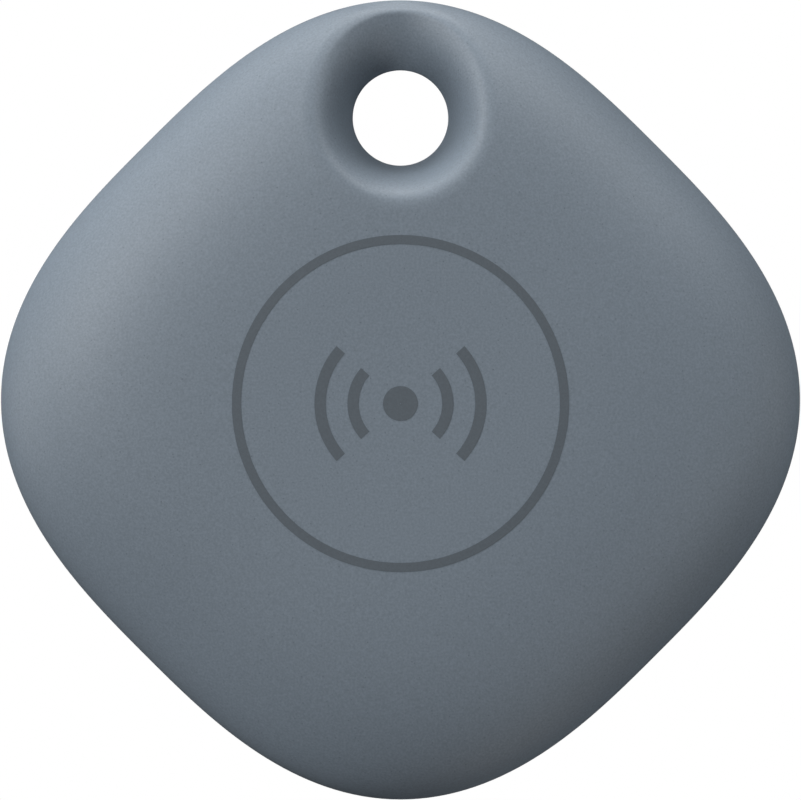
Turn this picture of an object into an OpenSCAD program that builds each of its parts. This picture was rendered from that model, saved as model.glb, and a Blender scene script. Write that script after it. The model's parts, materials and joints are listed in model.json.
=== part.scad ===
// Bluetooth tracker tag: two snap-fit covers round a button, a sounder, a board and a coin cell.
// All sizes are in millimetres; z = 0 is where the covers part and +z is the front.

/* [Body] */
// Width of the body from corner to corner, also its height
body_w = 39.1; // [38.9:0.1:40.5]
// Thickness of the body from its dome to its flat back
body_t = 10.4; // [10.4:0.05:10.7]
// Squareness of the outline: 2 is a circle and more is squarer
corner_power = 2.83; // [2.75:0.01:2.9]
// Flatness of the middle of the dome: more is flatter
dome_power = 4.4; // [4:0.1:4.8]
// Steepness of the dome at its edge: more is steeper
edge_power = 1.8; // [1.7:0.05:2]
// Thickness of the moulded walls
wall_t = 1.1; // [1:0.05:1.1]

/* [Keyring hole] */
// Diameter of the hole at its throat
hole_d = 4.67; // [4.4:0.01:4.8]
// Distance from the middle of the body up to the hole
hole_y = 13.8; // [13.75:0.01:13.85]
// Length of the straight land in the throat
land_len = 0.6; // [0.6:0.1:1.2]
// Radius of the flared mouth beside and below the hole
mouth_r = 4.5; // [4.3:0.05:4.6]
// How much further the mouth reaches above the hole
mouth_rise = 0.9; // [0.7:0.05:0.9]

/* [Button] */
// Diameter of the middle of the front that is pressed
pad_d = 15.8; // [15.6:0.05:15.8]
// How far the pressed middle lies below the middle of the body
pad_drop = 0.17; // [0:0.01:0.2]
// Running gap around the moving pieces
run_gap = 0.05; // [0.04:0.01:0.06]

/* [Sounder] */
// Diameter of the brass plate of the sounder
plate_d = 15; // [14.5:0.1:15]
// Diameter of the ceramic disc on the plate
ceramic_d = 11; // [10.5:0.1:11]

/* [Battery] */
// Diameter of the coin cell
cell_d = 20; // [19.8:0.1:20]
// Thickness of the coin cell
cell_t = 3.2; // [3.1:0.05:3.2]
// How far the cell lies below the middle of the body
cell_drop = 1.7; // [1.7:0.05:1.9]

/* [Circuit board] */
// Thickness of the circuit board
board_t = 0.8; // [0.7:0.05:0.8]
// Half of the board's width across its flat sides
board_half = 14.6; // [14.4:0.1:14.7]
// Diameter of the posts that hold the board and the tray
post_d = 1.2; // [1:0.1:1.2]
// Width of the square switch
switch_w = 4.5; // [4.2:0.1:4.5]

/* [Hidden] */
$fn = 64;
cut = 1;                                     // how far a cutting shape runs past what it cuts
weld = 0.3;                                  // how far joined shapes run into each other

// Outline and domes: z = 0 is the parting plane and +z is the front
half_flat = body_w / 2 / pow(2, 0.5 - 1 / corner_power);
back_z = -body_t / 2 + 0.05;                 // the flat back
front_rise = body_t / 2 + 0.05;
rear_rise = front_rise + 0.05;               // the rear dome before its top is cut flat
front_in = front_rise - wall_t;              // apex of the front cover's inner surface
inner_half = half_flat - wall_t;
back_seat_z = back_z + wall_t - 0.05;        // flat seat inside the rear cover
hole_r = hole_d / 2;
land_z = land_len / 2;
throat_step = 0.03;                          // ledge where the flare starts
bore_margin = 0.3;                           // stock left in the throat before it is drilled
sleeve_t = 0.5;                              // wall of the front cover's throat sleeve
clear_r = mouth_r + mouth_rise + wall_t;     // the lip stops this far from the hole

// Fineness of the two cover skins
rays = 96;
flare_steps = 6;
dome_steps = 10;
inner_steps = 14;
crowd = 0.55;                                // how strongly the rays gather near the hole
bowl_power = 2.5;                            // how quickly the dish levels out: 1 is a cone
thin_wall = 0.85;                            // share of the wall that is left under the dish
least_gap = 0.05;                            // least height of the space under the key bridge

// Levels of the stack, front to back
tape_t = 0.1;
plate_t = 0.2;
ceramic_t = 0.2;
seat_z = front_in - 0.2;                     // flat underside of the pressed middle
plate_top = seat_z - tape_t;
ceramic_top = plate_top - plate_t;
presser_top = ceramic_top - ceramic_t;
presser_len = 0.45;
presser_r = 1.6;
plunger_top = presser_top - presser_len - run_gap;
board_top = 1.8;
board_bot = board_top - board_t;
cell_top = board_bot - 0.75;                 // face of the negative cap
cell_bot = cell_top - cell_t;
cell_r = cell_d / 2;

// Battery tray
tray_half = board_half - 0.2;
tray_t = 0.8;
tray_z = board_bot - tray_t;
well_r = cell_r + 0.25;
well_t = 0.8;
well_bot = cell_bot + 0.55;
shoulder_r = cell_r - 0.5;
shoulder_z = cell_top + run_gap;

// Rear cover's lip, hooks and ribs
lip_half = inner_half - 0.36;
lip_t = 0.7;
lip_top = 0.9;
lip_root = -2;
hook_w = 4;
hook_z = 0.45;
hook_h = 0.35;
hook_out = 0.28;                             // how far a hook stands out of the lip
hook_angles = [8, 45, 135, 172, 225, 315];
rib_r = 8.4;
rib_t = 0.8;
foam_r = 5;
pry_w = 6;
pry_h = 0.7;
pry_depth = 0.7;

// Posts through the board and the tray: angle and distance from the middle of the body
posts = [[0, 13.6], [34, 12.3], [146, 12.3], [180, 13.6], [270, 14.4]];
post_end = tray_z - 0.2;
post_hole_r = post_d / 2 + run_gap;
boss_clear_r = 4.5;                          // notch of board and tray around the throat
board_top_y = 12.9;                          // the board stops level with the hole

// Smallest parts on the board
small_part = [1, 0.5, 0.5];
small_turned = [0.5, 1, 0.5];
resistor_h = 0.35;

// Switch, stacked on the board
base_h = 0.7;
base_floor = 0.2;
switch_well_r = 1.55;
frame_t = 0.15;
frame_hole_r = 1.12;
stem_r = frame_hole_r - 0.07;
flange_r = switch_well_r - 0.1;
flange_t = 0.16;
dome_sheet = 0.06;
dome_rise = 0.3;
dome_points = 8;
terminal_l = 0.6;

// Contact springs
strip_t = 0.12;
contact_w = 3;
positive_angle = 315;
slot_r = well_r + 2.7;                       // the contact's slot in the tray ends here

// Coin cell
can_t = 0.25;
cap_r = 8.9;
cap_skirt = 0.85;                            // depth of the cap's folded skirt
cap_flange_r = 9.4;
crimp_r = 9.2;
crimp_drop = 0.15;                           // the crimped edge lies this far below the cap
electrode_r = 9;
cathode_t = 1.35;
separator_t = 0.05;
anode_r = 8.6;

// Colours
shell_grey = "#6f7a84";
tray_black = "#25272a";
board_green = "#1d4a38";
steel = "#b9bcc0";
gold = "#d0a545";
brass = "#c7a452";
chip_black = "#1b1c1f";

// ---- Outline and dome ----

// Distance of (x, y) from the middle, counted along the flat sides' direction
function flat_norm(x, y) =
    pow(pow(abs(x + y) / sqrt(2), corner_power) + pow(abs(x - y) / sqrt(2), corner_power),
        1 / corner_power);

// Point of the outline at angle a, for an outline that is 2 * half across its flats
function outline_point(a, half) = half / flat_norm(cos(a), sin(a)) * [cos(a), sin(a)];

// Height of a dome above the parting plane
function dome_z(p, half, rise) =
    rise * pow(max(0, 1 - pow(flat_norm(p[0], p[1]) / half, dome_power)), 1 / edge_power);

// Plate with the body's outline, from z0 up to z1
module slab(half, z0, z1) {
    translate([0, 0, z0])
        linear_extrude(z1 - z0)
            polygon([for (i = [0 : rays - 1]) outline_point(360 * i / rays, half)]);
}

// ---- Cover skin: rays run from the hole to the outline, flared at the hole ----

hole_c = [0, hole_y];
function ray_turn(i) = 360 * i / rays;
function ray_angle(i) = 90 + ray_turn(i) - crowd * sin(ray_turn(i)) * 180 / PI;
function on_ray(dir, r) = hole_c + dir * r;
function raised(p, z) = [p[0], p[1], z];

// Reach of the flared mouth in direction dir: further above the hole than beside it
function mouth(dir) = mouth_r + mouth_rise * pow(max(0, dir[1]), 2);

// Profile of the dish: 0 at u = 0, where it is steep, and 1 from u = 1 on
function bowl(u) = 1 - pow(1 - min(1, max(0, u)), bowl_power);

// Height of a cover's outer surface at p: the dome, dished at the hole
function cover_z(p, rise) =
    let (r = norm(p - hole_c), dir = (p - hole_c) / r, wide = mouth(dir),
         u = (r - hole_r) / (wide - hole_r))
    u >= 1 ? dome_z(p, half_flat, rise)
           : land_z + (dome_z(on_ray(dir, wide), half_flat, rise) - land_z) * bowl(u);

// Height of its inner surface, which never comes closer to the outside than the wall
function inner_z(p, rise, inner_rise) =
    let (r = norm(p - hole_c), dir = (p - hole_c) / r, start = hole_r + wall_t,
         u = (r - start) / (mouth(dir) + wall_t - start))
    max(least_gap, min(dome_z(p, inner_half, inner_rise) * bowl(u),
                       cover_z(p, rise) - thin_wall * wall_t));

function outer_line(end, rise) =
    let (reach = norm(end - hole_c), dir = (end - hole_c) / reach,
         start = hole_r + throat_step, wide = mouth(dir))
    concat(
        [raised(on_ray(dir, hole_r - bore_margin), 0),
         raised(on_ray(dir, hole_r - bore_margin), land_z),
         raised(on_ray(dir, start), land_z)],
        [for (j = [1 : flare_steps])
            let (p = on_ray(dir, start + (wide - start) * (1 - cos(90 * j / flare_steps))))
            raised(p, cover_z(p, rise))],
        [for (j = [1 : dome_steps - 1])
            let (p = on_ray(dir, wide + (reach - wide) * sin(90 * j / dome_steps)))
            raised(p, cover_z(p, rise))],
        [raised(end, 0)]);

function inner_line(end, rise, inner_rise) =
    let (reach = norm(end - hole_c), dir = (end - hole_c) / reach, start = hole_r + wall_t)
    concat(
        [raised(end, 0)],
        [for (j = [inner_steps - 1 : -1 : 1])
            let (p = on_ray(dir, start + (reach - start) * (1 - cos(180 * j / inner_steps)) / 2))
            raised(p, inner_z(p, rise, inner_rise))],
        [raised(on_ray(dir, start), 0)]);

// Closed skin of a cover that rises by rise outside and inner_rise inside
module cover_skin(rise, inner_rise) {
    lines = [for (i = [0 : rays - 1])
        concat(outer_line(outline_point(ray_angle(i), half_flat), rise),
               inner_line(outline_point(ray_angle(i), inner_half), rise, inner_rise))];
    m = len(lines[0]);
    polyhedron(
        points = [for (line = lines) each line],
        faces = [for (i = [0 : rays - 1], j = [0 : m - 1])
            let (a = i * m + j, b = i * m + (j + 1) % m,
                 c = (i + 1) % rays * m + (j + 1) % m, d = (i + 1) % rays * m + j)
            each [[a, c, b], [a, d, c]]]);
}

// ---- Helpers ----

// Puts a sub-part, made lying on its back, upright with the hole at the origin
module upright() {
    rotate([90, 0, 0])
        translate([0, -hole_y, 0])
            children();
}

module disc(r, z0, z1) {
    translate([0, 0, z0])
        cylinder(r = r, h = z1 - z0);
}

module tube(r_out, r_in, z0, z1) {
    difference() {
        disc(r_out, z0, z1);
        disc(r_in, z0 - cut, z1 + cut);
    }
}

module block(size, z0) {
    translate([-size[0] / 2, -size[1] / 2, z0])
        cube(size);
}

module at_polar(a, r) {
    rotate(a)
        translate([r, 0, 0])
            children();
}

module at_hole() {
    translate([0, hole_y, 0])
        children();
}

module at_pad() {
    translate([0, -pad_drop, 0])
        children();
}

module at_cell() {
    translate([0, -cell_drop, 0])
        children();
}

// Outline of a bent strip of thickness t that follows the points of path
function strip_side(path, t, side) =
    [for (i = [0 : len(path) - 1])
        let (a = path[max(0, i - 1)], b = path[min(len(path) - 1, i + 1)],
             d = (b - a) / norm(b - a))
        path[i] + side * t / 2 * [-d[1], d[0]]];

// Strip of sheet metal: path is drawn in x and z, and the strip is w wide
module strip(path, w) {
    back = strip_side(path, strip_t, -1);
    translate([0, w / 2, 0])
        rotate([90, 0, 0])
            linear_extrude(w)
                polygon(concat(strip_side(path, strip_t, 1),
                               [for (i = [len(back) - 1 : -1 : 0]) back[i]]));
}

// ---- Covers ----

module hook_boxes(grow, z_grow) {
    for (a = hook_angles)
        rotate(a)
            translate([norm(outline_point(a, lip_half)) - weld, -hook_w / 2 - grow,
                       hook_z - z_grow])
                cube([weld + hook_out + grow, hook_w + 2 * grow, hook_h + 2 * z_grow]);
}

module front_cover() {
    color(shell_grey)
        upright()
            difference() {
                union() {
                    difference() {
                        cover_skin(front_rise, front_in);
                        at_pad()
                            disc(pad_d / 2 + run_gap, seat_z - cut, front_rise + cut);
                        hook_boxes(0.15, 0.15);
                    }
                    at_hole()
                        tube(hole_r + sleeve_t, hole_r - bore_margin, -land_z, land_z / 2);
                    for (post = posts)
                        at_polar(post[0], post[1])
                            disc(post_d / 2, post_end,
                                 dome_z(post[1] * [cos(post[0]), sin(post[0])], inner_half,
                                        front_in) + weld);
                }
                at_hole()
                    disc(hole_r, -land_z - cut, land_z + throat_step);
            }
}

module press_pad() {
    rings = 4;
    sides = 32;
    pts = concat(
        [[0, 0, dome_z([0, -pad_drop], half_flat, front_rise)]],
        [for (k = [1 : rings], i = [0 : sides - 1])
            let (r = (pad_d / 2 + weld) * k / rings, a = 360 * i / sides,
                 p = r * [cos(a), sin(a)])
            [p[0], p[1], dome_z(p - [0, pad_drop], half_flat, front_rise)]],
        [for (i = [0 : sides - 1])
            let (a = 360 * i / sides)
            [(pad_d / 2 + weld) * cos(a), (pad_d / 2 + weld) * sin(a), seat_z]]);
    last = rings * sides + 1;
    color(shell_grey)
        upright()
            at_pad()
                intersection() {
                    polyhedron(
                        points = pts,
                        faces = concat(
                            [for (i = [0 : sides - 1]) [0, 1 + (i + 1) % sides, 1 + i]],
                            [for (k = [0 : rings - 1], i = [0 : sides - 1])
                                let (a = 1 + k * sides + i, b = 1 + k * sides + (i + 1) % sides)
                                each [[a, b, a + sides], [b, b + sides, a + sides]]],
                            [[for (i = [0 : sides - 1]) last + i]]));
                    disc(pad_d / 2, seat_z - cut, front_rise + cut);
                }
}

module lip() {
    difference() {
        slab(lip_half, lip_root, lip_top);
        slab(lip_half - lip_t, lip_root - cut, lip_top + cut);
        at_hole()
            disc(clear_r, lip_root - cut, lip_top + cut);
    }
}

module rear_cover() {
    color(shell_grey)
        upright()
            difference() {
                union() {
                    mirror([0, 0, 1])
                        cover_skin(rear_rise, rear_rise - wall_t);
                    lip();
                    at_cell()
                        tube(rib_r, rib_r - rib_t, back_seat_z - weld, cell_bot - 0.1);
                    at_cell()
                        disc(foam_r + 0.5, back_seat_z - weld, back_seat_z);
                }
                block([body_w, body_w, cut], back_z - cut);
                at_hole()
                    disc(hole_r + sleeve_t + run_gap, -land_z - run_gap, cut);
                at_hole()
                    disc(hole_r, -land_z - throat_step, 0);
                translate([-pry_w / 2, -body_w / 2 - cut, -pry_h])
                    cube([pry_w, cut + pry_depth, pry_h + cut]);
            }
}

module snap_hooks() {
    color(shell_grey)
        upright()
            difference() {
                hook_boxes(0, 0);
                slab(lip_half, -cut, lip_top + cut);
            }
}

module foam_pad() {
    color("#3a3b3d")
        upright()
            at_cell()
                disc(foam_r, back_seat_z, cell_bot - run_gap);
}

module battery_tray() {
    color(tray_black)
        upright()
            difference() {
                union() {
                    slab(tray_half, tray_z, board_bot);
                    at_cell()
                        disc(well_r + well_t, well_bot, board_bot);
                }
                at_cell()
                    disc(well_r, well_bot - cut, shoulder_z);
                at_cell()
                    disc(shoulder_r, shoulder_z - cut, board_bot + cut);
                at_hole()
                    disc(boss_clear_r, well_bot - cut, board_bot + cut);
                translate([-body_w / 2, board_top_y, well_bot - cut])
                    cube([body_w, body_w, body_t]);
                for (post = posts)
                    at_polar(post[0], post[1])
                        disc(post_hole_r, tray_z - cut, board_bot + cut);
                at_cell()
                    rotate(positive_angle)
                        translate([shoulder_r - cut, -contact_w / 2 - 0.3, well_bot - cut])
                            cube([slot_r - shoulder_r + cut, contact_w + 0.6, body_t]);
            }
}

// ---- Sounder on the inside of the pressed middle ----

module piezo_tape() {
    color("#d9d4c3")
        upright()
            at_pad()
                disc(plate_d / 2 - 0.3, plate_top, seat_z);
}

module piezo_plate() {
    color(brass)
        upright()
            at_pad()
                disc(plate_d / 2, ceramic_top, plate_top);
}

module piezo_ceramic() {
    color("#e6e3d8")
        upright()
            at_pad()
                disc(ceramic_d / 2, presser_top, ceramic_top);
}

module presser() {
    color("#4a4d52")
        upright()
            at_pad()
                disc(presser_r, presser_top - presser_len, presser_top);
}

// Spring clip with its foot on the board and its tip at height top
module clip(top) {
    foot = board_top + strip_t / 2;
    tip = top - strip_t / 2 - 0.01;
    rise = tip - foot;
    strip([[-1, foot], [0.3, foot], [0.8, foot + 0.25 * rise], [0.55, foot + 0.5 * rise],
           [-0.45, foot + 0.85 * rise], [-0.8, tip], [-1.2, tip - 0.15]], 0.9);
}

module piezo_clips() {
    color(gold)
        upright()
            at_pad() {
                translate([plate_d / 2 + 0.1, 0, 0])
                    clip(ceramic_top);
                translate([-ceramic_d / 2 + 0.7, 0, 0])
                    mirror([1, 0, 0])
                        translate([-0.6, 0, 0])
                            clip(presser_top);
            }
}

// ---- Circuit board ----

module main_board() {
    color(board_green)
        upright()
            difference() {
                slab(board_half, board_bot, board_top);
                at_hole()
                    disc(boss_clear_r, board_bot - cut, board_top + cut);
                translate([-body_w / 2, board_top_y, board_bot - cut])
                    cube([body_w, body_w, body_t]);
                for (post = posts)
                    at_polar(post[0], post[1])
                        disc(post_hole_r, board_bot - cut, board_top + cut);
            }
}

// Component on the board at angle a and distance r, its long side along the edge
module chip_at(a, r, size) {
    at_polar(a, r)
        rotate(90)
            block(size, board_top);
}

module bluetooth_soc() {
    color(chip_black)
        upright()
            translate([-7, 3, 0])
                block([5, 5, 0.85], board_top);
}

module uwb_radio() {
    color(chip_black)
        upright()
            translate([-4.6, -5, 0])
                block([3.6, 3.6, 0.8], board_top);
}

module uwb_antenna() {
    color("#dcd9cf")
        upright()
            chip_at(51, 10.8, [4, 3, 0.8]);
}

module flash_memory() {
    color(chip_black)
        upright()
            translate([6.6, 4.4, 0])
                block([3, 2, 0.55], board_top);
}

module main_crystal() {
    color(steel)
        upright()
            chip_at(118, 8.7, [2, 1.6, 0.5]);
}

module clock_crystal() {
    color(steel)
        upright()
            chip_at(167, 11.4, [3.2, 1.5, 0.75]);
}

module piezo_driver() {
    color(chip_black)
        upright()
            translate([7, -3.6, 0])
                block([3, 3, 0.75], board_top);
}

module boost_inductor() {
    color("#4b4a48")
        upright()
            chip_at(318, 11.1, [3, 3, 1.1]);
}

module reservoir_capacitors() {
    color("#b98a52")
        upright()
            for (a = [212, 236])
                chip_at(a, 11.5, [3.2, 1.6, 1]);
}

module ceramic_capacitors() {
    color("#b59a76")
        upright() {
            for (i = [0 : 4])
                translate([-9 + i, -1.6, 0])
                    block(small_turned, board_top);
            for (i = [0 : 2])
                translate([-3.7, 1.2 + 1.3 * i, 0])
                    block(small_turned, board_top);
            for (i = [0 : 3])
                chip_at(58 + 9 * i, 8.2, small_part);
            for (i = [0 : 3])
                translate([4.4, -5.4 + 1.1 * i, 0])
                    block(small_part, board_top);
        }
}

module resistors() {
    color("#2a2a2c")
        upright() {
            for (i = [0 : 3])
                translate([9.4, -4.9 + 1.1 * i, 0])
                    block([small_part[0], small_part[1], resistor_h], board_top);
            for (i = [0 : 3])
                translate([3.9 + 1.1 * i, 2.4, 0])
                    block([small_turned[0], small_turned[1], resistor_h], board_top);
            for (a = [126, 144])
                chip_at(a, 10.2, [small_part[0], small_part[1], resistor_h]);
        }
}

module chip_antenna() {
    color("#e8e6df")
        upright()
            chip_at(133, 12.2, [3.2, 1.6, 0.9]);
}

module test_pads() {
    color(gold)
        upright()
            for (x = [-3 : 2 : 5])
                translate([x, -9.4, 0])
                    disc(0.5, board_top, board_top + 0.04);
}

// ---- Switch in the middle of the board ----

module switch_base() {
    color("#202124")
        upright()
            at_pad()
                difference() {
                    block([switch_w, switch_w, base_h], board_top);
                    disc(switch_well_r, board_top + base_floor, board_top + base_h + cut);
                }
}

module switch_terminals() {
    color(gold)
        upright()
            at_pad()
                for (x = [-1, 1], y = [-1, 1])
                    translate([x * (switch_w + terminal_l) / 2, y * 1.5, 0])
                        block([terminal_l, 0.7, frame_t], board_top);
}

module switch_dome() {
    floor_z = board_top + base_floor;
    reach = switch_well_r - 0.15;
    rise = dome_rise - dome_sheet;
    arc = [for (i = [0 : dome_points]) let (u = 1 - i / dome_points)
           [reach * u, rise * (1 - pow(u, 2))]];
    color(steel)
        upright()
            at_pad()
                translate([0, 0, floor_z])
                    rotate_extrude()
                        polygon(concat(arc, [for (i = [dome_points : -1 : 0])
                                             arc[i] + [0, dome_sheet]]));
}

module switch_frame() {
    color(steel)
        upright()
            at_pad() {
                difference() {
                    block([switch_w, switch_w, frame_t], board_top + base_h);
                    disc(frame_hole_r, board_top, board_top + body_t);
                }
                for (side = [-1, 1])
                    translate([0, side * (switch_w + frame_t) / 2, 0])
                        block([2.4, frame_t, base_h + frame_t], board_top);
            }
}

module switch_plunger() {
    under_frame = board_top + base_h - 0.02;
    color("#d8d8d4")
        upright()
            at_pad() {
                disc(flange_r, under_frame - flange_t, under_frame);
                disc(stem_r, under_frame - flange_t, plunger_top);
            }
}

// ---- Battery contacts ----

module positive_contact() {
    under = board_bot - strip_t / 2;
    touch = cell_r + 0.09;
    color(gold)
        upright()
            at_cell()
                rotate(positive_angle)
                    strip([[slot_r - 0.2, under], [well_r + 1.1, under],
                           [well_r + 0.95, under - 0.15], [well_r + 0.8, cell_top - 0.5],
                           [touch + 0.1, cell_top - 1.4], [touch, cell_top - 1.6],
                           [touch + 0.1, cell_top - 1.8], [touch + 0.6, cell_top - 2.3]],
                          contact_w);
}

module negative_contact() {
    under = board_bot - strip_t / 2;
    touch = cell_top + strip_t / 2 + 0.02;
    color(gold)
        upright()
            at_cell()
                for (side = [-1, 1])
                    translate([0, side * 2.2, 0])
                        strip([[-4.2, under], [-2.2, under], [-1.8, under - 0.05],
                               [1.4, touch + 0.08], [1.9, touch], [2.4, touch + 0.08],
                               [2.9, touch + 0.25]], contact_w / 2);
}

// ---- Coin cell ----

module turned(profile) {
    upright()
        at_cell()
            rotate_extrude($fn = 96)
                polygon(profile);
}

crimp_top = cell_top - crimp_drop;
gasket_top = crimp_top - 0.18;
can_in = cell_r - can_t;
can_floor = cell_bot + can_t;
flange_top = cell_top - cap_skirt + can_t;

module cell_can() {
    edge = 0.35;
    color(steel)
        turned([[0, cell_bot], [cell_r - edge, cell_bot], [cell_r - 0.1, cell_bot + 0.1],
                [cell_r, cell_bot + edge], [cell_r, crimp_top - 0.35],
                [cell_r - 0.1, crimp_top - 0.1], [cell_r - 0.3, crimp_top],
                [crimp_r, crimp_top], [crimp_r, gasket_top], [can_in, gasket_top],
                [can_in, can_floor], [0, can_floor]]);
}

module cell_gasket() {
    color("#3c3f44")
        turned([[can_in, can_floor], [can_in, gasket_top], [cap_r + run_gap, gasket_top],
                [cap_r + run_gap, flange_top], [cap_flange_r + run_gap, flange_top],
                [cap_flange_r + run_gap, flange_top - can_t], [electrode_r + run_gap,
                flange_top - can_t], [electrode_r + run_gap, can_floor]]);
}

module cell_cap() {
    color(steel)
        turned([[0, cell_top], [cap_r - 0.3, cell_top], [cap_r - 0.08, cell_top - 0.08],
                [cap_r, cell_top - 0.3], [cap_r, flange_top], [cap_flange_r, flange_top],
                [cap_flange_r, flange_top - can_t], [cap_r - can_t, flange_top - can_t],
                [cap_r - can_t, cell_top - can_t], [0, cell_top - can_t]]);
}

module cell_cathode() {
    color("#1f1f20")
        upright()
            at_cell()
                disc(electrode_r, can_floor, can_floor + cathode_t);
}

module cell_separator() {
    color("#efefe9")
        upright()
            at_cell()
                disc(electrode_r, can_floor + cathode_t, can_floor + cathode_t + separator_t);
}

module cell_anode() {
    color("#9a9da1")
        upright()
            at_cell()
                disc(anode_r, can_floor + cathode_t + separator_t, cell_top - can_t);
}

front_cover();
press_pad();
rear_cover();
snap_hooks();
foam_pad();
battery_tray();
piezo_tape();
piezo_plate();
piezo_ceramic();
presser();
piezo_clips();
main_board();
bluetooth_soc();
uwb_radio();
uwb_antenna();
flash_memory();
main_crystal();
clock_crystal();
piezo_driver();
boost_inductor();
reservoir_capacitors();
ceramic_capacitors();
resistors();
chip_antenna();
test_pads();
switch_base();
switch_terminals();
switch_dome();
switch_frame();
switch_plunger();
positive_contact();
negative_contact();
cell_can();
cell_gasket();
cell_cap();
cell_cathode();
cell_separator();
cell_anode();
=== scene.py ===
import json
import math

import bmesh
import bpy
import numpy as np
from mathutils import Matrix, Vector


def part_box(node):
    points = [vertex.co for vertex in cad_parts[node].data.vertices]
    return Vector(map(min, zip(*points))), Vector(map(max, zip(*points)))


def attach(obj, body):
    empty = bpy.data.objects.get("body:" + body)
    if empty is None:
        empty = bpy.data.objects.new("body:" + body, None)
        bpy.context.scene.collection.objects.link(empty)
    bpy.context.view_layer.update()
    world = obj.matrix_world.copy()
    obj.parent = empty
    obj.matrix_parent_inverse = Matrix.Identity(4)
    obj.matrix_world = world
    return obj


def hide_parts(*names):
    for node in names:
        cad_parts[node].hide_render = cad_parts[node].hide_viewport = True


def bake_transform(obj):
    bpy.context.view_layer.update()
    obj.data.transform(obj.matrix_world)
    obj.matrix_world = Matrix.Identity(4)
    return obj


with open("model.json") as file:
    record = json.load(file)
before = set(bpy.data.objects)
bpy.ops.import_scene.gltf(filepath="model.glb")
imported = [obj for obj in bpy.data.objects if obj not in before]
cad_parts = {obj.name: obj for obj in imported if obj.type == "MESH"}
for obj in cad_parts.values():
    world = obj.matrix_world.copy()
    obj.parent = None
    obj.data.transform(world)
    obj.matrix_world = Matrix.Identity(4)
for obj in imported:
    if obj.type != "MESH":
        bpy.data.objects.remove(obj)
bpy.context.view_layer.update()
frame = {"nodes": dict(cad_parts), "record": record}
MM = 0.001

# ---- Sizes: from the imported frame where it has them, in metres ----

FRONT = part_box("front_cover")
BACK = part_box("rear_cover")
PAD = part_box("press_pad")
HOLE = next(m for m in frame["record"]["mounts"] if m["name"] == "keyring_hole")
SLOTS = {part["node"]: part["material_slot"] for part in frame["record"]["subparts"]}

CORNER_POWER = 2.83  # squareness of the outline
DOME_POWER = 4.4  # flatness of the middle of the dome
EDGE_POWER = 1.8  # steepness of its edge
HALF_HEIGHT = (FRONT[1].z - FRONT[0].z) / 2
HALF_FLAT = HALF_HEIGHT / 2 ** (0.5 - 1 / CORNER_POWER)
CENTRE_Z = (FRONT[1].z + FRONT[0].z) / 2
WALL = 1.1 * MM
INNER_HALF = HALF_FLAT - WALL
FRONT_RISE = -PAD[0].y
BACK_FLAT = BACK[1].y
BACK_RISE = BACK_FLAT + 0.15 * MM
HOLE_R = HOLE["dims"]["r_mm"] * MM
LAND = HOLE["dims"]["length_mm"] * MM / 2
SLEEVE_R = HOLE_R + 0.5 * MM
GAP = 0.05 * MM
MOUTH_R = 4.5 * MM  # reach of the dish beside and below the hole
MOUTH_RISE = 0.9 * MM  # how much further it reaches above the hole
BOWL_POWER = 2.5  # how quickly the dish levels out: 1 is a cone
LIP_HALF = INNER_HALF - 0.36 * MM
LIP_T = 0.7 * MM
LIP_CLEAR = MOUTH_R + MOUTH_RISE + WALL
PAD_Z = (PAD[0].z + PAD[1].z) / 2
RING_R = (7.73 * MM, 8.18 * MM)  # inner and outer radius of the printed ring
INK_T = 0.012 * MM
PARTING = 0.01 * MM  # half the hairline between the covers


# ---- Outline and domes ----

def flat_norm(x, z):
    """Distance of (x, z) from the body's middle, counted along the flat sides' direction."""
    up = z - CENTRE_Z
    u = np.abs(x + up) / math.sqrt(2)
    v = np.abs(x - up) / math.sqrt(2)
    return (u ** CORNER_POWER + v ** CORNER_POWER) ** (1 / CORNER_POWER)


def outline(angles, half):
    """Points (x, z) of the outline at these angles about the body's middle."""
    c, s = np.cos(angles), np.sin(angles)
    r = half / flat_norm(c, s + CENTRE_Z)
    return np.stack([r * c, r * s + CENTRE_Z], -1)


def dome(x, z, half, rise):
    """Height of a dome above the parting plane."""
    s = np.clip(flat_norm(x, z) / half, 0, 1)
    return rise * (1 - s ** DOME_POWER) ** (1 / EDGE_POWER)


def front_height(x, z):
    return dome(x, z, HALF_FLAT, FRONT_RISE)


def back_height(x, z):
    """The rear dome, its top cut flat with a softened edge."""
    over = dome(x, z, HALF_FLAT, BACK_RISE) - BACK_FLAT
    soft = 0.02 * MM
    return BACK_FLAT + (over - np.sqrt(over ** 2 + soft ** 2)) / 2


# ---- Mesh helpers ----

def placed(name, data):
    """New object that holds this mesh, light or camera."""
    obj = bpy.data.objects.new(name, data)
    bpy.context.scene.collection.objects.link(obj)
    return obj


def new_mesh(name, verts, faces, smooth=True):
    mesh = bpy.data.meshes.new(name)
    mesh.from_pydata([tuple(v) for v in verts], [], [tuple(f) for f in faces])
    mesh.validate()
    if smooth:
        mesh.polygons.foreach_set("use_smooth", [True] * len(mesh.polygons))
    return placed(name, mesh)


def grid_faces(rows, cols, close_rows=True, close_cols=True, flip=False):
    """Quads of a grid of rows x cols vertices, closed into a ring either way."""
    faces = []
    for i in range(rows if close_rows else rows - 1):
        for j in range(cols if close_cols else cols - 1):
            a = i * cols + j
            b = i * cols + (j + 1) % cols
            c = (i + 1) % rows * cols + (j + 1) % cols
            d = (i + 1) % rows * cols + j
            faces.append((a, d, c, b) if flip else (a, b, c, d))
    return faces


def sharpen(obj, degrees):
    """Shades smooth, with sharp edges where faces meet at more than this angle."""
    obj.data.set_sharp_from_angle(angle=math.radians(degrees))
    return obj


def finish_piece(obj, body, slot, *nodes, material=None):
    """Material, slot and body of a new piece, and the CAD nodes it stands for."""
    obj.data.materials.append(material or MATERIALS[slot])
    if nodes:
        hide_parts(*nodes)
    if body:
        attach(obj, body)
    return obj


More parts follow.
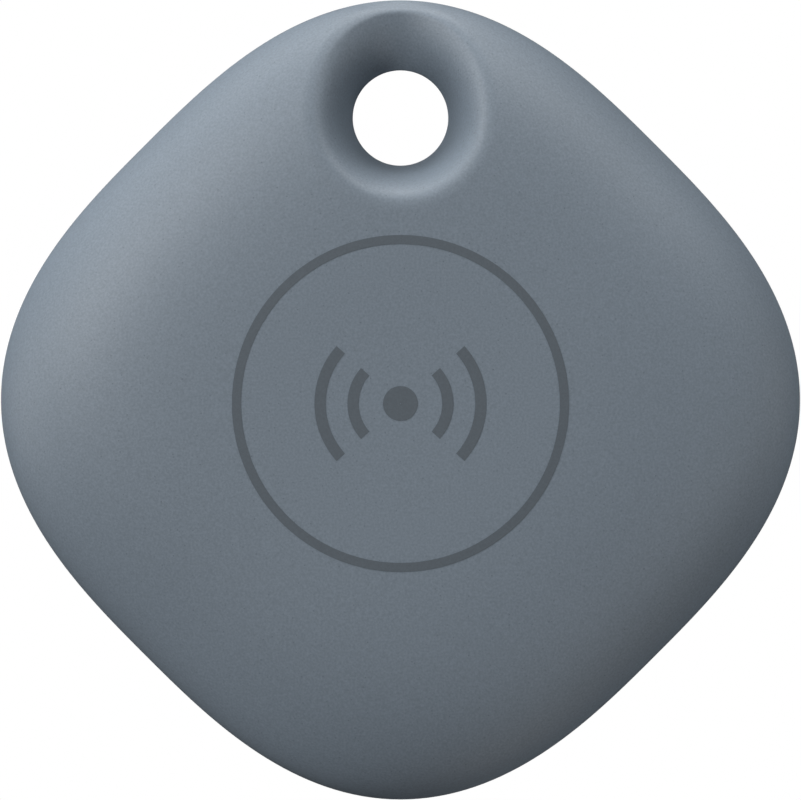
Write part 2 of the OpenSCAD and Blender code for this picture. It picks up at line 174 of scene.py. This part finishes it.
ON_AXIS = 1e-9  # a radius below this is a single point on the axis


def turned(name, profile, centre, steps=128):
    """Closed solid turned about the Y axis through centre; profile holds (radius, y) points."""
    verts, faces = [], []
    ring_start = []
    for r, y in profile:
        ring_start.append(len(verts))
        if r < ON_AXIS:
            verts.append((centre[0], y, centre[1]))
            continue
        for i in range(steps):
            a = 2 * math.pi * i / steps
            verts.append((centre[0] + r * math.cos(a), y, centre[1] + r * math.sin(a)))
    count = len(profile)
    closed = profile[0][0] > ON_AXIS
    for k in range(count if closed else count - 1):
        n = (k + 1) % count
        a0, b0 = ring_start[k], ring_start[n]
        a_point, b_point = profile[k][0] < ON_AXIS, profile[n][0] < ON_AXIS
        for i in range(steps):
            j = (i + 1) % steps
            if a_point and b_point:
                continue
            if a_point:
                faces.append((a0, b0 + j, b0 + i))
            elif b_point:
                faces.append((a0 + i, a0 + j, b0))
            else:
                faces.append((a0 + i, a0 + j, b0 + j, b0 + i))
    obj = new_mesh(name, verts, faces)
    outward(obj)
    return sharpen(obj, 35)


def outward(obj):
    """Makes every face of a closed mesh point outwards."""
    bm = bmesh.new()
    bm.from_mesh(obj.data)
    bmesh.ops.recalc_face_normals(bm, faces=bm.faces)
    bm.to_mesh(obj.data)
    bm.free()


def arc(centre, radius, start, end, steps):
    """Points of an arc, in degrees, both ends included."""
    return [(centre[0] + radius * math.cos(math.radians(a)),
             centre[1] + radius * math.sin(math.radians(a)))
            for a in np.linspace(start, end, steps)]


# ---- Materials ----

def new_material(name, colour, roughness, metallic=0.0):
    mat = bpy.data.materials.new(name)
    mat.use_nodes = True
    shader = mat.node_tree.nodes["Principled BSDF"]
    shader.inputs["Base Color"].default_value = (*colour, 1)
    shader.inputs["Roughness"].default_value = roughness
    shader.inputs["Metallic"].default_value = metallic
    return mat, mat.node_tree.nodes, mat.node_tree.links, shader


def noise(nodes, links, scale, detail=2.0, stretch=None):
    """Noise in the object's own coordinates; scale is in features per metre."""
    where = nodes.new("ShaderNodeTexCoord")
    tex = nodes.new("ShaderNodeTexNoise")
    tex.inputs["Scale"].default_value = scale
    tex.inputs["Detail"].default_value = detail
    source = where.outputs["Object"]
    if stretch:
        mapping = nodes.new("ShaderNodeMapping")
        mapping.inputs["Scale"].default_value = stretch
        links.new(source, mapping.inputs["Vector"])
        source = mapping.outputs["Vector"]
    links.new(source, tex.inputs["Vector"])
    return tex.outputs["Fac"]


def cells(nodes, links, scale):
    """Distance to the nearest of points scattered through the object's own coordinates."""
    where = nodes.new("ShaderNodeTexCoord")
    tex = nodes.new("ShaderNodeTexVoronoi")
    tex.inputs["Scale"].default_value = scale
    links.new(where.outputs["Object"], tex.inputs["Vector"])
    return tex.outputs["Distance"]


def ramp(nodes, links, source, stops):
    """Colours of these (position, colour) stops, picked by a source from 0 to 1."""
    node = nodes.new("ShaderNodeValToRGB")
    elements = node.color_ramp.elements
    while len(elements) < len(stops):
        elements.new(0.5)
    for element, (at, colour) in zip(elements, stops):
        element.position = at
        element.color = (*colour, 1)
    links.new(source, node.inputs["Fac"])
    return node.outputs["Color"]


def bump(nodes, links, shader, height, depth, strength=1.0):
    """Relief on top of any bump that the shader has already."""
    node = nodes.new("ShaderNodeBump")
    node.inputs["Distance"].default_value = depth
    node.inputs["Strength"].default_value = strength
    links.new(height, node.inputs["Height"])
    previous = shader.inputs["Normal"].links
    if previous:
        links.new(previous[0].from_socket, node.inputs["Normal"])
    links.new(node.outputs["Normal"], shader.inputs["Normal"])


def scaled(colour, k):
    return tuple(c * k for c in colour)


SHELL = (0.130, 0.159, 0.190)
INK = (0.071, 0.086, 0.101)
TINNED = (0.42, 0.40, 0.33)


def moulded_plastic(name, colour, grain=1.0):
    """Matte moulding with a fine spark-eroded grain and a few tiny pits."""
    mat, nodes, links, shader = new_material(name, colour, 0.56)
    shader.inputs["Specular IOR Level"].default_value = 0.42
    mottle = noise(nodes, links, 9000, 3)
    base = ramp(nodes, links, mottle, [(0.30, scaled(colour, 0.88)), (0.70, scaled(colour, 1.11))])
    pits = ramp(nodes, links, cells(nodes, links, 2600),
                [(0.05, (0.70, 0.70, 0.70)), (0.12, (1, 1, 1))])
    mix = nodes.new("ShaderNodeMix")
    mix.data_type = "RGBA"
    mix.blend_type = "MULTIPLY"
    mix.inputs["Factor"].default_value = grain
    links.new(base, mix.inputs["A"])
    links.new(pits, mix.inputs["B"])
    links.new(mix.outputs["Result"], shader.inputs["Base Color"])
    bump(nodes, links, shader, noise(nodes, links, 11000, 2), 0.010 * MM, 0.7 * grain)
    bump(nodes, links, shader, noise(nodes, links, 2200, 2), 0.008 * MM, 0.3 * grain)
    return mat


def ink(name, colour):
    """Thin pad-printed ink that takes the grain of the plastic below."""
    mat, nodes, links, shader = new_material(name, colour, 0.6)
    shader.inputs["Specular IOR Level"].default_value = 0.35
    patchy = noise(nodes, links, 9000, 3)
    base = ramp(nodes, links, patchy, [(0.3, scaled(colour, 0.94)), (0.7, scaled(colour, 1.07))])
    links.new(base, shader.inputs["Base Color"])
    bump(nodes, links, shader, noise(nodes, links, 11000, 2), 0.005 * MM, 0.5)
    return mat


def soft_foam(name, colour):
    mat, nodes, links, shader = new_material(name, colour, 0.95)
    pores = cells(nodes, links, 5200)
    base = ramp(nodes, links, pores, [(0.1, scaled(colour, 0.5)), (0.6, scaled(colour, 1.35))])
    links.new(base, shader.inputs["Base Color"])
    bump(nodes, links, shader, pores, 0.03 * MM, 0.8)
    return mat


def rolled_metal(name, colour, roughness, grain_along=(1, 1, 12), metallic=0.8):
    """Rolled sheet metal with fine lines and a slightly uneven polish."""
    mat, nodes, links, shader = new_material(name, colour, roughness, metallic)
    lines = noise(nodes, links, 4000, 2, stretch=grain_along)
    base = ramp(nodes, links, lines, [(0.25, scaled(colour, 0.93)), (0.75, scaled(colour, 1.04))])
    links.new(base, shader.inputs["Base Color"])
    rough = ramp(nodes, links, lines, [(0.3, (roughness - 0.04,) * 3), (0.7, (roughness + 0.05,) * 3)])
    links.new(rough, shader.inputs["Roughness"])
    bump(nodes, links, shader, lines, 0.0003 * MM, 0.4)
    return mat


def fired_ceramic(name, colour):
    mat, nodes, links, shader = new_material(name, colour, 0.42)
    speckle = noise(nodes, links, 7000, 5)
    base = ramp(nodes, links, speckle, [(0.3, scaled(colour, 0.86)), (0.7, scaled(colour, 1.05))])
    links.new(base, shader.inputs["Base Color"])
    bump(nodes, links, shader, speckle, 0.004 * MM, 0.4)
    return mat


def board_laminate(name, colour):
    """Green solder mask over copper, with the small tinned dots of its vias."""
    mat, nodes, links, shader = new_material(name, colour, 0.34)
    shader.inputs["Coat Weight"].default_value = 0.3
    shader.inputs["Coat Roughness"].default_value = 0.2
    copper = noise(nodes, links, 700, 0)
    mask = ramp(nodes, links, copper, [(0.47, scaled(colour, 0.85)), (0.50, scaled(colour, 1.35))])
    dots = ramp(nodes, links, cells(nodes, links, 480), [(0.075, (1, 1, 1)), (0.085, (0, 0, 0))])
    mix = nodes.new("ShaderNodeMix")
    mix.data_type = "RGBA"
    links.new(dots, mix.inputs["Factor"])
    links.new(mask, mix.inputs["A"])
    mix.inputs["B"].default_value = (*TINNED, 1)
    links.new(mix.outputs["Result"], shader.inputs["Base Color"])
    bump(nodes, links, shader, copper, 0.01 * MM, 0.3)
    return mat


def plain_soft(name, colour, roughness, scale=6000):
    """Paper, felt, silicone and pressed powder: a soft uneven surface."""
    mat, nodes, links, shader = new_material(name, colour, roughness)
    fibres = noise(nodes, links, scale, 5)
    base = ramp(nodes, links, fibres, [(0.3, scaled(colour, 0.85)), (0.7, scaled(colour, 1.1))])
    links.new(base, shader.inputs["Base Color"])
    bump(nodes, links, shader, fibres, 0.01 * MM, 0.5)
    return mat


MATERIALS = {
    "cover_shell": moulded_plastic("moulded_shell", SHELL),
    "ink": ink("printed_ink", INK),
    "foam": soft_foam("cell_foam", (0.045, 0.047, 0.05)),
    "tray": moulded_plastic("tray_moulding", (0.040, 0.042, 0.046), 0.5),
    "tape": plain_soft("adhesive_tape", (0.62, 0.58, 0.47), 0.6),
    "sounder_brass": rolled_metal("sounder_brass", (0.72, 0.50, 0.19), 0.32),
    "sounder_ceramic": fired_ceramic("sounder_silvered", (0.72, 0.71, 0.67)),
    "silicone": plain_soft("silicone", (0.07, 0.075, 0.085), 0.7),
    "gold_spring": rolled_metal("gold_spring", (0.83, 0.58, 0.24), 0.34, (1, 8, 1)),
    "board_laminate": board_laminate("board_laminate", (0.020, 0.110, 0.062)),
    "chip_epoxy": moulded_plastic("chip_epoxy", (0.014, 0.014, 0.016), 0.6),
    "crystal_lid": rolled_metal("crystal_lid", (0.66, 0.66, 0.68), 0.3),
    "ferrite": fired_ceramic("ferrite", (0.06, 0.058, 0.056)),
    "capacitor_body": fired_ceramic("capacitor_body", (0.38, 0.23, 0.11)),
    "resistor_body": fired_ceramic("resistor_body", (0.02, 0.02, 0.023)),
    "antenna_ceramic": fired_ceramic("antenna_ceramic", (0.78, 0.77, 0.72)),
    "gold_pad": rolled_metal("gold_pad", (0.86, 0.62, 0.27), 0.28, (1, 1, 1)),
    "switch_plastic": moulded_plastic("switch_plastic", (0.018, 0.018, 0.02), 0.5),
    "spring_steel": rolled_metal("spring_steel", (0.60, 0.61, 0.63), 0.25),
    "plunger_nylon": plain_soft("plunger_nylon", (0.66, 0.66, 0.62), 0.5),
    "cell_steel": rolled_metal("cell_steel", (0.70, 0.71, 0.73), 0.44, (1, 1, 1), 0.6),
    "gasket_nylon": plain_soft("gasket_nylon", (0.05, 0.055, 0.065), 0.5),
    "cathode_mix": plain_soft("cathode_mix", (0.018, 0.018, 0.018), 0.9),
    "separator_felt": plain_soft("separator_felt", (0.80, 0.80, 0.76), 0.9),
    "lithium": plain_soft("lithium_foil", (0.42, 0.43, 0.45), 0.4),
}


# ---- Cover skins: rays run from the keyring hole out to the rim ----

RAYS = 448
CROWD = 0.7  # how strongly the rays gather near the hole
FLARE_STEPS = 36
DOME_STEPS = 72
INNER_STEPS = 40
RIM_ROUND = 0.10 * MM
THIN_WALL = 0.85  # share of the wall that is left under the dish
CREST_SOFT = 0.35 * MM  # how far the crest round the mouth is rounded over
CREST_SAMPLES = 9


def ray_ends(half):
    """Outline points of all rays, their directions from the hole and their lengths."""
    turn = np.linspace(0, 2 * math.pi, RAYS, endpoint=False)
    ends = outline(math.pi / 2 + turn - CROWD * np.sin(turn), half)
    reach = np.hypot(ends[:, 0], ends[:, 1])
    return ends, ends / reach[:, None], reach


def mouth_reach(way):
    """Reach of the dish round the hole in these directions."""
    return MOUTH_R + MOUTH_RISE * np.clip(way[:, 1], 0, None) ** 2


def bowl(u):
    """Profile of the dish, from 0 at the throat, where it is steep, to 1 at its mouth."""
    return 1 - (1 - u) ** BOWL_POWER


def dished(x, z, height):
    """Height of a cover's outer surface: the dome, dished at the hole."""
    r = np.hypot(x, z)
    way = np.stack([x, z], -1) / r[:, None]
    mouth = mouth_reach(way)
    u = np.clip((r - HOLE_R) / (mouth - HOLE_R), 0, 1)
    edge = height(way[:, 0] * mouth, way[:, 1] * mouth)
    return np.where(u < 1, LAND + (edge - LAND) * bowl(u), height(x, z))


def softened(x, z, height):
    """The dished height with the crest round the mouth rounded over."""
    r = np.hypot(x, z)
    way = np.stack([x, z], -1) / r[:, None]
    mouth = mouth_reach(way)
    near = np.clip(1 - np.abs(r - mouth) / (3 * CREST_SOFT), 0, 1)
    shift = CREST_SOFT * near * near * (3 - 2 * near)
    total = 0
    for k in np.linspace(-1, 1, CREST_SAMPLES):
        there = r + k * shift
        total = total + dished(way[:, 0] * there, way[:, 1] * there, height)
    return total / CREST_SAMPLES


def outer_columns(height):
    """Columns of (x, z, height above the parting plane) from the throat's land out to the rim."""
    ends, way, reach = ray_ends(HALF_FLAT)
    mouth = mouth_reach(way)
    columns = []
    for t in np.linspace(0, math.pi, FLARE_STEPS):
        r = HOLE_R + (mouth - HOLE_R) * (1 - math.cos(t)) / 2
        x, z = way[:, 0] * r, way[:, 1] * r
        columns.append((x, z, softened(x, z, height)))
    for t in np.linspace(0, math.pi, DOME_STEPS)[1:-1]:
        r = mouth + (reach - mouth) * (1 - math.cos(t)) / 2
        x, z = way[:, 0] * r, way[:, 1] * r
        columns.append((x, z, np.maximum(softened(x, z, height), RIM_ROUND)))
    inset = outline_inset(ends)
    for t in np.radians(np.linspace(0, 90, 5)):
        k = RIM_ROUND * (1 - math.cos(t))
        h = RIM_ROUND * (1 - math.sin(t)) + PARTING
        columns.append((ends[:, 0] + inset[:, 0] * k, ends[:, 1] + inset[:, 1] * k, np.full(RAYS, h)))
    return columns


def outline_inset(ends):
    """Unit vectors that point from the outline towards the middle."""
    v = np.array([0, CENTRE_Z]) - ends
    return v / np.linalg.norm(v, axis=1)[:, None]


def inner_columns(height, rise):
    """Columns of the inner skin, from the rim back to the throat's wall."""
    ends, way, reach = ray_ends(INNER_HALF)
    start = HOLE_R + WALL
    mouth = mouth_reach(way) + WALL
    columns = []
    for t in np.linspace(math.pi, 0, INNER_STEPS):
        r = start + (reach - start) * (1 - math.cos(t)) / 2
        u = np.clip((r - start) / (mouth - start), 0, 1)
        x, z = way[:, 0] * r, way[:, 1] * r
        inside = dome(x, z, INNER_HALF, rise) * bowl(u)
        columns.append((x, z, np.clip(inside, 0, dished(x, z, height) - THIN_WALL * WALL)))
    return columns


def round_columns(points):
    """Columns at a fixed distance from the hole's axis: points holds (radius, height)."""
    way = ray_ends(HALF_FLAT)[1]
    return [(way[:, 0] * r, way[:, 1] * r, np.full(RAYS, h)) for r, h in points]


def skin(name, columns, side):
    """Closed skin from columns; side is -1 for the front cover and 1 for the rear cover."""
    table = np.array([np.stack([x, side * h, z], -1) for x, z, h in columns])
    verts = table.transpose(1, 0, 2).reshape(-1, 3)
    obj = new_mesh(name, verts, grid_faces(RAYS, len(columns)))
    outward(obj)
    return sharpen(obj, 40)


def front_shell():
    """One moulding, dished at the hole, with the throat's sleeve reaching into the rear cover."""
    edge = 0.08 * MM
    sleeve = [(SLEEVE_R, 0), (SLEEVE_R, -LAND + edge), (SLEEVE_R - edge, -LAND),
              (HOLE_R + edge, -LAND), (HOLE_R, -LAND + edge), (HOLE_R, 0), (HOLE_R, LAND * 0.6)]
    obj = skin("front_shell", round_columns(sleeve) + outer_columns(front_height)
               + inner_columns(front_height, FRONT_RISE - WALL), -1)
    finish_piece(obj, None, "cover_shell", "front_cover", "press_pad")
    return flexing(obj)


def flexing(obj):
    """Bakes the piece's placement into its mesh."""
    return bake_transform(obj)


def rear_shell():
    """One moulding, dished at the hole, with a socket that the throat's sleeve goes into."""
    socket_r = SLEEVE_R + GAP
    socket = [(socket_r, PARTING), (socket_r, LAND + GAP), (HOLE_R + GAP, LAND + GAP)]
    columns = (round_columns(socket) + outer_columns(back_height)
               + inner_columns(back_height, BACK_RISE - WALL))
    obj = skin("rear_shell", [pry_scallop(c) for c in columns], 1)
    finish_piece(obj, "back", "cover_shell", "rear_cover")
    return obj


def pry_scallop(column):
    """Presses a thumbnail's notch into the rim at the bottom of the rear cover."""
    x, z, h = column
    width, tall, deep = 6 * MM, 0.75 * MM, 0.65 * MM
    near = (np.abs(x) < width / 2) & (z < CENTRE_Z - HALF_HEIGHT + 1.0 * MM) & (h < tall)
    along = np.cos(np.pi * np.clip(np.abs(x) / width, 0, 0.5)) ** 0.5
    up = np.sqrt(np.clip(1 - (h / tall) ** 2, 0, 1))
    return x, z + np.where(near, deep * along * up, 0), h


def lip():
    """Wall that plugs into the front cover; it stops short of the keyring hole."""
    turn = np.linspace(0, 2 * math.pi, 361)
    points = outline(math.pi / 2 + turn, LIP_HALF)
    turn = turn[np.hypot(points[:, 0], points[:, 1]) > LIP_CLEAR] + math.pi / 2
    low, high, edge = -0.9 * MM, 2 * MM, 0.12 * MM
    section = [(0, high), (0, low + edge), (edge, low), (LIP_T - edge, low), (LIP_T, low + edge),
               (LIP_T, high)]
    rings = [np.stack([p[:, 0], np.full(len(turn), y), p[:, 1]], -1)
             for p, y in ((outline(turn, LIP_HALF - depth), y) for depth, y in section)]
    table = np.array(rings).transpose(1, 0, 2)
    rows, cols = table.shape[:2]
    faces = grid_faces(rows, cols, close_rows=False)
    faces += [tuple(range(cols)), tuple((rows - 1) * cols + j for j in reversed(range(cols)))]
    obj = new_mesh("rear_lip", table.reshape(-1, 3), faces)
    outward(obj)
    sharpen(obj, 40)
    return finish_piece(obj, "back", "cover_shell", "rear_cover")


# ---- Printed ring and mark ----

DOT_R = (0.02 * MM, 0.85 * MM)
ARC_RADII = (2.3 * MM, 3.9 * MM)
ARC_T = 0.55 * MM
ARC_HALF_TURN = 42


def printed_band(centre, r_in, r_out, start, end, steps):
    """Vertices and faces of a thin band of ink on the dome, a whole ring if it spans 360 degrees."""
    whole = end - start >= 360
    angles = np.radians(np.linspace(start, end, steps, endpoint=not whole))
    section = [(r_in, -1), (r_in, 1), ((r_in + r_out) / 2, 1), (r_out, 1), (r_out, -1)]
    rows = []
    for r, level in section:
        x = centre[0] + r * np.cos(angles)
        z = centre[1] + r * np.sin(angles)
        rows.append(np.stack([x, -front_height(x, z) - level * INK_T, z], -1))
    table = np.array(rows).transpose(1, 0, 2)
    faces = grid_faces(steps, len(section), close_rows=whole)
    if not whole:
        last = (steps - 1) * len(section)
        faces += [tuple(range(len(section))),
                  tuple(last + j for j in reversed(range(len(section))))]
    return table.reshape(-1, 3), faces


def printed(name, bands):
    """One piece of ink made of these bands."""
    verts, faces = [], []
    for points, quads in bands:
        shift = len(verts)
        verts.extend(points)
        faces.extend(tuple(shift + i for i in quad) for quad in quads)
    obj = new_mesh(name, verts, faces, smooth=False)
    outward(obj)
    finish_piece(obj, None, "cover_shell", material=MATERIALS["ink"])
    return flexing(obj)


def printed_ring():
    return printed("printed_ring", [printed_band((0, PAD_Z), *RING_R, 0, 360, 256)])


def printed_mark():
    """A plain signal sign: a dot between two pairs of arcs."""
    centre = (0, PAD_Z)
    bands = [printed_band(centre, *DOT_R, 0, 360, 48)]
    for radius in ARC_RADII:
        for middle in (0, 180):
            bands.append(printed_band(centre, radius - ARC_T / 2, radius + ARC_T / 2,
                                      middle - ARC_HALF_TURN, middle + ARC_HALF_TURN, 48))
    return printed("printed_mark", bands)


# ---- Pieces inside ----

def node_centre(node):
    lo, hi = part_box(node)
    return (lo.x + hi.x) / 2, (lo.z + hi.z) / 2


def cell_can():
    """Pressed steel cup with a crimped edge and a raised plus on its flat face."""
    lo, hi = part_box("cell_can")
    centre = node_centre("cell_can")
    r = (hi.x - lo.x) / 2
    t, edge, proud = 0.25 * MM, 0.45 * MM, 0.03 * MM
    crimp_r, crimp_t = 9.2 * MM, 0.18 * MM
    profile = [(0, hi.y - proud), (r * 0.84, hi.y - proud), (r * 0.86, hi.y)]
    profile += arc((r - edge, hi.y - edge), edge, 90, 0, 8)
    profile += arc((r - edge, lo.y + edge), edge, 0, -90, 8)
    profile += [(crimp_r, lo.y), (crimp_r, lo.y + crimp_t), (r - t, lo.y + crimp_t),
                (r - t, hi.y - t), (0, hi.y - t)]
    obj = turned("cell_cup", profile, centre, 160)
    finish_piece(obj, "cell", "cell_steel", "cell_can")
    plus = stamped_plus(centre, hi.y - 2 * proud, hi.y)
    return finish_piece(plus, "cell", "cell_steel")


def stamped_plus(centre, low, high):
    """Raised plus between two heights, its walls drawn in a little as a stamp leaves them."""
    half, arm, draft = 2.4 * MM, 0.45 * MM, 0.05 * MM
    verts = []
    for y, pull in ((low, 0), (high, draft)):
        h, a = half - pull, arm - pull
        corners = [(h, -a), (h, a), (a, a), (a, h), (-a, h), (-a, a),
                   (-h, a), (-h, -a), (-a, -a), (-a, -h), (a, -h), (a, -a)]
        verts += [(centre[0] + x, y, centre[1] + z) for x, z in corners]
    count = len(verts) // 2
    faces = grid_faces(2, count, close_rows=False)
    faces += [tuple(reversed(range(count))), tuple(range(count, 2 * count))]
    obj = new_mesh("cell_plus", verts, faces, smooth=False)
    outward(obj)
    return obj


def foam_pad():
    """Cut foam disc, a little crowned where it isn't squeezed, with soft edges."""
    lo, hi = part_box("foam_pad")
    centre = node_centre("foam_pad")
    r, edge = (hi.x - lo.x) / 2, 0.2 * MM
    profile = [(0, hi.y), (r - edge, hi.y)]
    profile += arc((r - edge, hi.y - edge), edge, 90, 0, 6)
    profile += [(r - 0.06 * MM, (lo.y + hi.y) / 2)]
    profile += arc((r - edge, lo.y + edge), edge, 0, -90, 6)
    profile += [(r * 0.5, lo.y), (0, lo.y)]
    obj = turned("foam_disc", profile, centre)
    finish_piece(obj, "back", "foam", "foam_pad")
    return obj


def cell_rib():
    """Ring rib inside the rear cover that keeps the cell in its well."""
    centre = node_centre("cell_can")
    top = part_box("cell_can")[1].y + 0.1 * MM
    deep = BACK_FLAT - 0.5 * MM
    outer, inner, edge = 8.4 * MM, 7.6 * MM, 0.15 * MM
    profile = [(inner, deep), (inner, top + edge), (inner + edge, top), (outer - edge, top),
               (outer, top + edge), (outer, deep)]
    obj = turned("cell_rib", profile, centre)
    return finish_piece(obj, "back", "cover_shell", "rear_cover")


def foam_seat():
    """Boss inside the rear cover that the foam is stuck to."""
    lo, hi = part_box("foam_pad")
    centre = node_centre("foam_pad")
    r, edge = (hi.x - lo.x) / 2 + 0.5 * MM, 0.1 * MM
    deep = BACK_FLAT - 0.4 * MM
    profile = [(0, hi.y), (r - edge, hi.y), (r, hi.y + edge), (r, deep), (0, deep)]
    obj = turned("foam_seat", profile, centre)
    return finish_piece(obj, "back", "cover_shell", "rear_cover")


def sounder_seat():
    """The underside of the pressed middle, flat where the sounder is stuck on."""
    lo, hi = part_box("press_pad")
    r, edge = (hi.x - lo.x) / 2, 0.2 * MM
    top = -FRONT_RISE + 0.7 * MM
    profile = [(0, hi.y), (r - edge, hi.y), (r, hi.y - edge), (r, top), (0, top)]
    obj = turned("sounder_seat", profile, (0, PAD_Z))
    return finish_piece(obj, "button", "cover_shell", "press_pad")


def sprung(node):
    """A copy of a spring's CAD node as a piece of its own, in its slot's material."""
    source = frame["nodes"][node]
    slot = SLOTS[node]
    mesh = source.data.copy()
    mesh.transform(source.matrix_world)
    mesh.materials.clear()
    obj = placed(node + "_sprung", mesh)
    finish_piece(obj, None, slot, node)
    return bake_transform(obj)


def cad_nodes():
    """Every CAD node that shows gets its slot's material and slightly broken edges."""
    widest, share = 0.08 * MM, 0.12
    for name, obj in frame["nodes"].items():
        if obj.hide_render:
            continue
        obj.data.materials.clear()
        obj.data.materials.append(MATERIALS[SLOTS[name]])
        lo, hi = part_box(name)
        edge = obj.modifiers.new("broken_edges", "BEVEL")
        edge.width = min(widest, min(hi - lo) * share)
        edge.segments = 2
        edge.limit_method = "ANGLE"
        edge.angle_limit = math.radians(50)


# ---- Camera, light and surroundings ----

CAMERA_AWAY = 0.6
FRAME_W = 39.2 * MM  # width of the picture at the tag
LIGHTS_AWAY = 2.0
PANEL = 1.0  # diameter of a light
BACKDROP, AMBIENT = 1.0, 0.03  # strength of the white world as seen, and as light
FLOOR_R, FLOOR_BELOW = 0.85, 0.03


def camera():
    data = bpy.data.cameras.new("camera")
    obj = placed("camera", data)
    data.sensor_width = 36
    data.lens = data.sensor_width * CAMERA_AWAY / FRAME_W
    data.clip_start = 0.01
    data.clip_end = 20
    obj.location = (0, -CAMERA_AWAY, CENTRE_Z)
    obj.rotation_euler = (math.radians(90), 0, 0)
    bpy.context.scene.camera = obj


def area_light(name, way, power, size=PANEL, gleam=True):
    """Soft round panel in direction way (right, back, up) from the tag, facing it."""
    data = bpy.data.lights.new(name, "AREA")
    data.shape = "DISK"
    data.size = size
    data.energy = power
    obj = placed(name, data)
    way = Vector(way).normalized()
    obj.location = Vector((0, 0, CENTRE_Z)) + way * LIGHTS_AWAY
    obj.rotation_euler = (-way).to_track_quat("-Z", "Y").to_euler()
    obj.visible_camera = False
    obj.visible_glossy = gleam


def lights():
    """Key from the upper left, light from overhead, weak fills all round and one light behind."""
    area_light("key", (-0.64, -0.67, 0.37), 39)
    area_light("overhead_left", (-0.55, 0.0, 0.83), 16)
    area_light("overhead_right", (0.47, -0.34, 0.81), 21)
    area_light("overhead", (0.0, 0.21, 0.98), 25)
    area_light("left", (-1.0, -0.05, 0.0), 14)
    area_light("right", (1.0, -0.05, 0.0), 7)
    area_light("low_right", (0.64, -0.67, -0.37), 8)
    area_light("low", (0.50, -0.05, -0.86), 7)
    area_light("behind", (0.0, 1.0, 0.02), 38, 0.7, gleam=False)


def studio():
    """White all round for the camera, and only a little light from it."""
    scene = bpy.context.scene
    scene.view_settings.view_transform = "Standard"
    world = bpy.data.worlds.new("studio")
    scene.world = world
    world.use_nodes = True
    nodes, links = world.node_tree.nodes, world.node_tree.links
    back = nodes["Background"]
    back.inputs["Color"].default_value = (1, 1, 1, 1)
    rays = nodes.new("ShaderNodeLightPath")
    strength = nodes.new("ShaderNodeMapRange")
    strength.inputs["To Min"].default_value = AMBIENT
    strength.inputs["To Max"].default_value = BACKDROP
    links.new(rays.outputs["Is Camera Ray"], strength.inputs["Value"])
    links.new(strength.outputs["Result"], back.inputs["Strength"])


def pale_floor():
    """Plain disc below the hanging tag; the low lights shine through it."""
    bpy.ops.mesh.primitive_circle_add(vertices=96, radius=FLOOR_R, fill_type="NGON",
                                      location=(0, 0, CENTRE_Z - HALF_HEIGHT - FLOOR_BELOW))
    floor = bpy.context.object
    floor.name = "floor"
    floor.visible_diffuse = False
    floor.visible_glossy = False
    floor.visible_shadow = False
    mat, _, _, shader = new_material("pale_floor", (0.85, 0.85, 0.85), 0.8)
    shader.inputs["Emission Color"].default_value = (1, 1, 1, 1)
    shader.inputs["Emission Strength"].default_value = 0.35
    floor.data.materials.append(mat)


camera()
lights()
studio()
pale_floor()
front_shell()
rear_shell()
lip()
cell_rib()
foam_seat()
foam_pad()
sounder_seat()
printed_ring()
printed_mark()
cell_can()
sprung("switch_dome")
sprung("piezo_clips")
cad_nodes()
